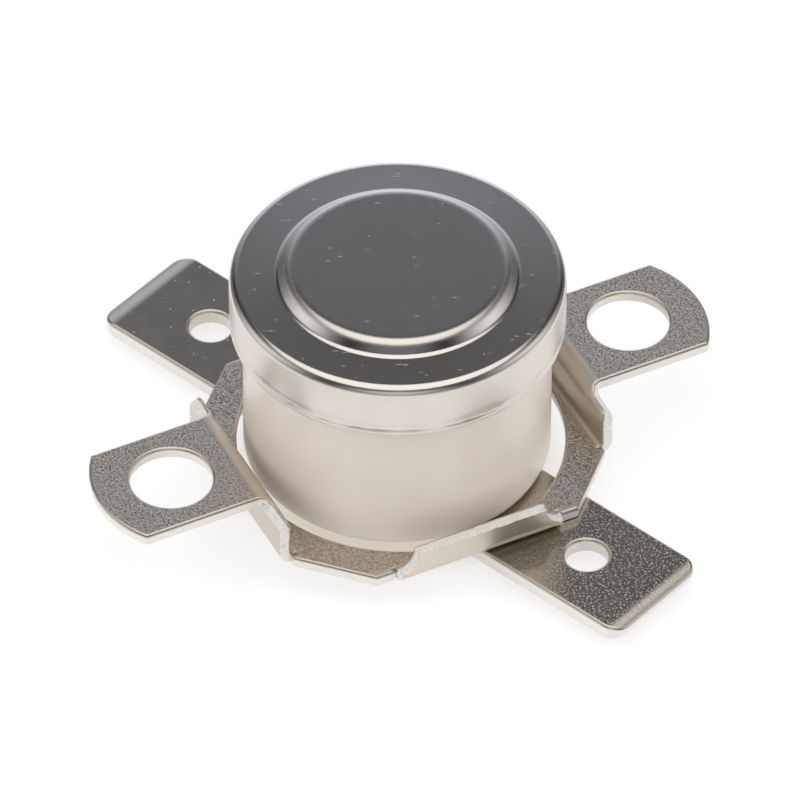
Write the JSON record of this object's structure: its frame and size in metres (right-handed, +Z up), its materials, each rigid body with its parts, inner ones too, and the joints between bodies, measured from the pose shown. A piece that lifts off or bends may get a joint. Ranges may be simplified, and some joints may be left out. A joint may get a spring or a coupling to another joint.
{
  "type": "bimetal snap-disc temperature switch",
  "caption": "Round ceramic snap-disc temperature switch with a drawn metal sensing cap, flat push-on tabs and a loose folded mounting bracket with screw ears.",
  "frame": {"origin": "on the body's axis, at the underside of the two rivet heads that it stands on", "axes": "+Z up along the body's axis to the sensing face, +X along the tab terminals, +Y across them"},
  "size_m": [0.0334, 0.0309, 0.0132],
  "materials": {
    "cap_metal": "satin drawn sheet",
    "bimetal": "rolled bimetal sheet",
    "inner_ceramic": "unglazed",
    "body_ceramic": "soft gloss, warm off-white",
    "spring_metal": "rolled spring sheet",
    "contact_metal": "bright contact metal",
    "plated_steel": "nickel-plated sheet, grainy"
  },
  "bodies": {
    "case": {"cap": "cap_metal", "bimetal_disc": "bimetal", "pin_guide": "inner_ceramic", "ceramic_body": "body_ceramic", "contact_blade": "spring_metal", "fixed_contact": "contact_metal", "fixed_strip": "spring_metal", "tab_blade_side": "plated_steel", "tab_contact_side": "plated_steel", "rivet_blade_side": "plated_steel", "rivet_contact_side": "plated_steel"},
    "bracket": {"mounting_bracket": "plated_steel"},
    "pin": {"transfer_pin": "inner_ceramic"},
    "contact": {"moving_contact": "contact_metal"}
  },
  "joints": [
    {"name": "bracket_turn", "type": "hinge", "parent": "case", "child": "bracket", "pos_m": [0.00037, -0.00014, 0.00155], "axis": [0, 0, 1], "continuous": true},
    {"name": "pin_slide", "type": "slide", "parent": "case", "child": "pin", "axis": [0, 0, -1], "range_m": [0, 0.00035], "stiffness_N_per_m": 200, "springref_m": -0.0005, "deforming": ["bimetal_disc"]},
    {"name": "contact_swing", "type": "hinge", "parent": "case", "child": "contact", "pos_m": [-0.00242, 0, 0.0067], "axis": [0, 1, 0], "range_deg": [0, 8.5], "deforming": ["contact_blade"]}
  ],
  "couplings": [
    {"joint": "contact_swing", "follows": "pin_slide", "rad_per_m": 412.6}
  ]
}
